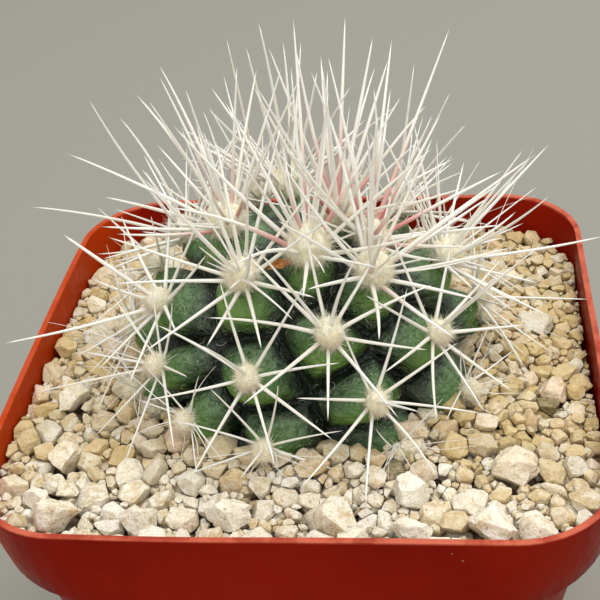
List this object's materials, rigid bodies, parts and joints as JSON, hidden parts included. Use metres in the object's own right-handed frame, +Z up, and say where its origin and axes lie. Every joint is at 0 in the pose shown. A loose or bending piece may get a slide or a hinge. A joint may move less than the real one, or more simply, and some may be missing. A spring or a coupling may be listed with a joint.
{
  "type": "potted round cactus",
  "caption": "Round tubercled cactus with woolly areoles and long white spines, growing in a square plastic pot topped with crushed stone.",
  "frame": {"origin": "centre of the pot's underside, on the face it stands on", "axes": "+Z up out of the pot; X along the pot's front wall, to the right seen from the front; Y from the front wall to the back wall"},
  "size_m": [0.0754, 0.075, 0.1056],
  "materials": {
    "pot": "satin",
    "potting_mix": "matte",
    "gravel": "matte",
    "large_stones": "matte",
    "cactus_skin": "satin",
    "wool_and_spines": "matte",
    "dried_flower": "matte"
  },
  "bodies": {
    "root": {"areole_01": "wool_and_spines", "areole_02": "wool_and_spines", "areole_03": "wool_and_spines", "areole_04": "wool_and_spines", "areole_05": "wool_and_spines", "areole_06": "wool_and_spines", "areole_07": "wool_and_spines", "areole_08": "wool_and_spines", "areole_09": "wool_and_spines", "areole_10": "wool_and_spines", "areole_11": "wool_and_spines", "areole_12": "wool_and_spines", "areole_13": "wool_and_spines", "areole_14": "wool_and_spines", "areole_15": "wool_and_spines", "areole_16": "wool_and_spines", "areole_17": "wool_and_spines", "areole_18": "wool_and_spines", "areole_19": "wool_and_spines", "areole_20": "wool_and_spines", "areole_21": "wool_and_spines", "areole_22": "wool_and_spines", "areole_23": "wool_and_spines", "areole_24": "wool_and_spines", "areole_25": "wool_and_spines", "areole_26": "wool_and_spines", "areole_27": "wool_and_spines", "areole_28": "wool_and_spines", "areole_29": "wool_and_spines", "areole_30": "wool_and_spines", "areole_31": "wool_and_spines", "areole_32": "wool_and_spines", "areole_33": "wool_and_spines", "areole_34": "wool_and_spines", "areole_35": "wool_and_spines", "cactus_stem": "cactus_skin", "dried_flower_scrap": "dried_flower", "gravel_bed": "gravel", "pot": "pot", "potting_mix": "potting_mix", "stone_01": "large_stones", "stone_02": "large_stones", "stone_03": "large_stones", "stone_04": "large_stones", "stone_05": "large_stones", "stone_06": "large_stones", "stone_07": "large_stones", "stone_08": "large_stones", "stone_09": "large_stones", "stone_10": "large_stones", "stone_11": "large_stones", "stone_12": "large_stones", "stone_13": "large_stones", "stone_14": "large_stones", "stone_15": "large_stones", "stone_16": "large_stones"}
  },
  "joints": []
}
